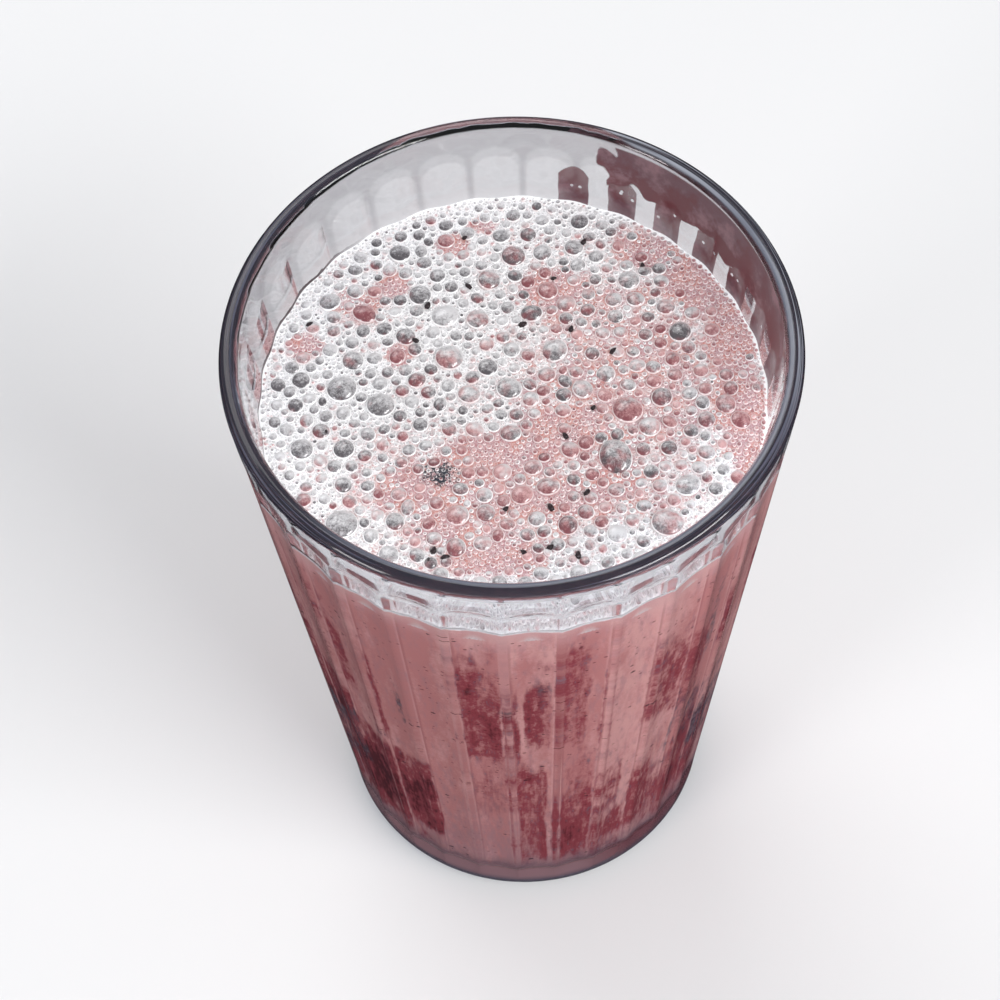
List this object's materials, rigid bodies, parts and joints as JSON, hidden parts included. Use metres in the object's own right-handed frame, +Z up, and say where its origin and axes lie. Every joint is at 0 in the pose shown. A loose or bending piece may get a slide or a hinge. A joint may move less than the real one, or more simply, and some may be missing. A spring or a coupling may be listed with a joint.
{
  "type": "frothy berry smoothie in a fluted glass tumbler",
  "caption": "Tapered clear glass tumbler with pressed flutes, filled with a pink berry and milk smoothie under a layer of bubbly froth with black seeds.",
  "frame": {"origin": "centre of the flat foot of the glass, on the surface it stands on", "axes": "+Z up along the glass's own axis, -Y towards the camera of the picture, +X to its right"},
  "size_m": [0.0818, 0.0818, 0.1173],
  "materials": {
    "clear_glass": "smooth pressed soda-lime glass with a faint slate-blue tint where it is thick",
    "berry_smoothie": "opaque dusty pink milk drink marbled with dark crimson pulp and small seeds",
    "milky_froth": "off-white wet froth of round bubbles with pink pulp patches",
    "bubble_film": "thin clear wet film of the larger bubbles",
    "black_seed": "small wet black seeds"
  },
  "bodies": {
    "root": {"glass": "clear_glass", "smoothie": "berry_smoothie", "froth": "milky_froth"}
  },
  "joints": []
}
